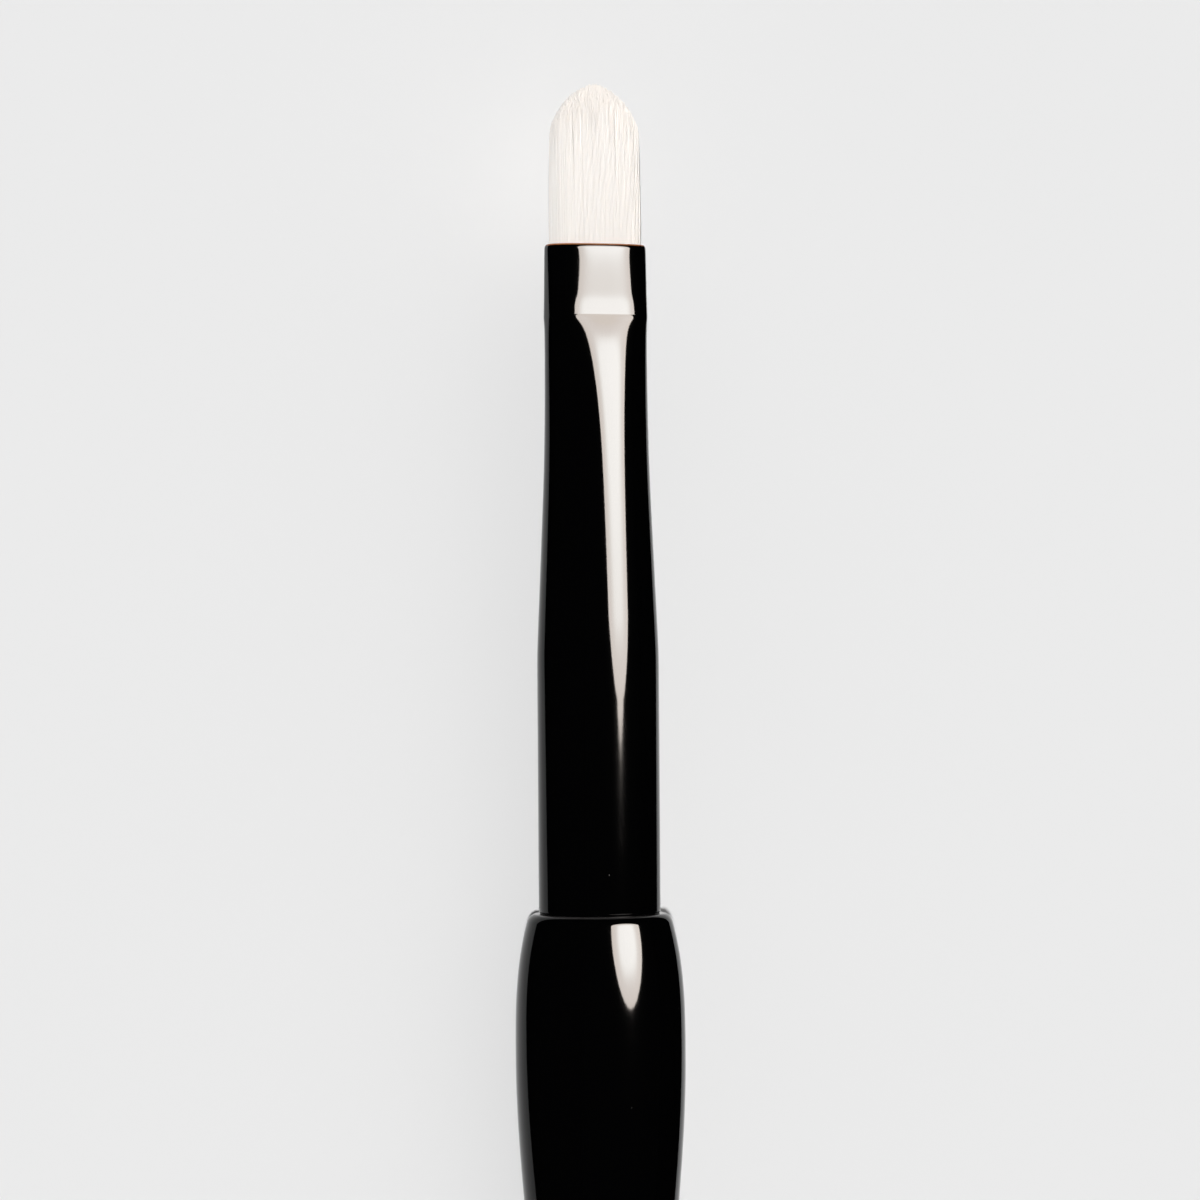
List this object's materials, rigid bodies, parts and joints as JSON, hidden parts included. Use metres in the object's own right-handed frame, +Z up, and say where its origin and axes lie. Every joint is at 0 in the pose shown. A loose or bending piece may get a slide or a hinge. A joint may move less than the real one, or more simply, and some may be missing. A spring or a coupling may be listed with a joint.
{
  "type": "concealer brush",
  "caption": "Slim concealer brush: domed flat white tuft in a gloss black ferrule that runs from a flat mouth to a round barrel, on a round black handle with a belly.",
  "frame": {"origin": "on the surface that the brush lies on, under the middle of its length", "axes": "+X along the brush towards the tuft, +Z up and square to the flats of the mouth, Y across the flat tuft"},
  "size_m": [0.16, 0.01, 0.0101],
  "materials": {
    "handle_lacquer": "turned wood under deep black polished lacquer",
    "ferrule_black": "seamless drawn metal under black enamel with a mirror gloss",
    "filaments": "fine warm-white synthetic filaments with soft tapered tips",
    "glue": "cured amber epoxy, hidden inside the ferrule"
  },
  "bodies": {
    "root": {"handle": "handle_lacquer", "ferrule": "ferrule_black", "bristle_tuft": "filaments", "root_plug": "glue"}
  },
  "joints": []
}
